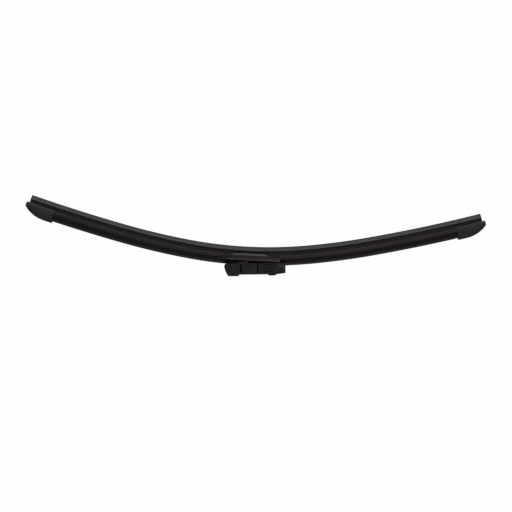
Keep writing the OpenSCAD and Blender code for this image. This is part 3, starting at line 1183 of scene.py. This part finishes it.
@dataclass
class Lamp:
    """A soft area light.

    Attributes:
        name: its name.
        place: where it stands, in metres.
        aim: the point that it faces.
        size: its width and height, in metres.
        power: its power in watts.
    """

    name: str
    place: tuple[float, float, float]
    aim: tuple[float, float, float]
    size: tuple[float, float]
    power: float

    def build(self) -> Object:
        """Builds the light, unseen by the camera.

        Returns:
            Its object.
        """
        data = bpy.data.lights.new(self.name, "AREA")
        data.shape = "RECTANGLE"
        data.size, data.size_y = self.size
        data.energy = self.power
        made = bpy.data.objects.new(self.name, data)
        made.location = self.place
        towards = Vector(self.aim) - Vector(self.place)
        made.rotation_euler = towards.to_track_quat("-Z", "Y").to_euler()
        made.visible_camera = False
        bpy.context.scene.collection.objects.link(made)
        return made


@dataclass
class Studio:
    """Camera, lights, background and pale floor.

    The blade hangs with its lip down, and the photograph shows it turned over: the camera looks
    along -Y with its top towards the glass, so the light over it comes from -Z.

    Attributes:
        centre: the point in the middle of the picture, in millimetres.
        distance: how far the camera stands from it, in metres.
        width: width that the picture shows there, in millimetres.
        roll: how far the camera is turned about its view, in degrees.
        floor_height: height of the floor, in metres.
    """

    centre: tuple[float, float] = (5.4, -12.8)
    distance: float = 1.6
    width: float = 555.4
    roll: float = 0.6
    floor_height: float = -0.9
    lamps: list[Lamp] = field(default_factory=lambda: [
        Lamp("overhead_key", (0.15, 0.5, -1.05), (0.02, 0.0, 0.0), (0.9, 0.25), 8.5),
        Lamp("low_front_fill", (0.0, 1.35, 0.7), (0.0, 0.0, 0.0), (1.3, 0.8), 3.2),
        Lamp("high_front_fill", (0.2, 1.0, -0.9), (0.0, 0.0, 0.0), (1.0, 0.6), 1.6),
        Lamp("right_front", (0.6, 1.4, 0.15), (0.05, 0.0, 0.0), (0.3, 0.3), 0.8),
        Lamp("right_rim", (0.8, -0.45, -0.85), (0.12, 0.0, 0.0), (0.4, 0.4), 5.0),
        Lamp("back_fill", (-0.1, -1.5, 0.3), (0.0, 0.0, 0.0), (1.2, 1.2), 0.6),
    ])

    def build(self) -> None:
        """Sets up the whole studio."""
        self.camera()
        for lamp in self.lamps:
            lamp.build()
        self.floor()
        self.background()
        bpy.context.scene.view_settings.view_transform = "Standard"

    def camera(self) -> Object:
        """Builds the camera at the photograph's viewing angle.

        Returns:
            The camera.
        """
        data = bpy.data.cameras.new("photo_camera")
        data.sensor_width = 36.0
        data.lens = data.sensor_width * self.distance / (self.width * MM)
        data.clip_start, data.clip_end = 0.05, 20.0
        made = bpy.data.objects.new("photo_camera", data)
        turn = math.radians(self.roll)
        right = Vector((math.cos(turn), 0, math.sin(turn)))
        up = Vector((math.sin(turn), 0, -math.cos(turn)))
        back = right.cross(up)
        middle = Vector((self.centre[0], 0, self.centre[1])) * MM
        pose = Matrix((right, up, back)).transposed().to_4x4()
        made.matrix_world = Matrix.Translation(middle + back * self.distance) @ pose
        bpy.context.scene.collection.objects.link(made)
        bpy.context.scene.camera = made
        return made

    def floor(self) -> Object:
        """Builds the pale floor.

        Returns:
            Its object.
        """
        mesh = bmesh.new()
        bmesh.ops.create_grid(mesh, x_segments=1, y_segments=1, size=1.6)
        bmesh.ops.translate(mesh, vec=(0, 0, self.floor_height), verts=mesh.verts)
        data = bpy.data.meshes.new("studio_floor")
        mesh.to_mesh(data)
        mesh.free()
        material = bpy.data.materials.new("floor_paper")
        material.use_nodes = True
        shader = material.node_tree.nodes["Principled BSDF"]
        shader.inputs["Base Color"].default_value = (0.75, 0.75, 0.75, 1)
        shader.inputs["Roughness"].default_value = 0.9
        shader.inputs["Emission Color"].default_value = (1, 1, 1, 1)
        shader.inputs["Emission Strength"].default_value = 0.55
        data.materials.append(material)
        made = bpy.data.objects.new("studio_floor", data)
        bpy.context.scene.collection.objects.link(made)
        return made

    def background(self) -> None:
        """Makes the world white to the camera and a dim soft light to everything else."""
        world = bpy.data.worlds.new("studio_world")
        world.use_nodes = True
        bpy.context.scene.world = world
        nodes, links = world.node_tree.nodes, world.node_tree.links
        dim = nodes["Background"]
        dim.inputs["Color"].default_value = (1, 1, 1, 1)
        dim.inputs["Strength"].default_value = 0.1
        white = nodes.new("ShaderNodeBackground")
        white.inputs["Color"].default_value = (0.99, 0.99, 0.99, 1)
        mix = nodes.new("ShaderNodeMixShader")
        ray = nodes.new("ShaderNodeLightPath")
        links.new(ray.outputs["Is Camera Ray"], mix.inputs["Fac"])
        links.new(dim.outputs["Background"], mix.inputs[1])
        links.new(white.outputs["Background"], mix.inputs[2])
        links.new(mix.outputs["Shader"], nodes["World Output"].inputs["Surface"])


def main() -> None:
    """Builds the studio and every piece of the blade, in order."""
    logging.basicConfig(level=logging.INFO, format="%(name)s %(message)s", stream=sys.stdout)
    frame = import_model()
    Studio().build()
    bow = Bow()
    rubber = RubberElement(bow)
    rubber.build()
    rails = SpringRails(bow)
    rails.build("front_rail", "spring_rail_front", -1)
    rails.build("rear_rail", "spring_rail_rear", 1)
    Spoiler(bow, Side.LEFT, -226.9, -23.2).build()
    Spoiler(bow, Side.RIGHT, 34.5, 241.7).build()
    EndCap(bow, Side.LEFT, -rubber.start).build()
    EndCap(bow, Side.RIGHT, rubber.end).build()
    Connector(frame["nodes"], bow).build()


if __name__ == "__main__":
    main()
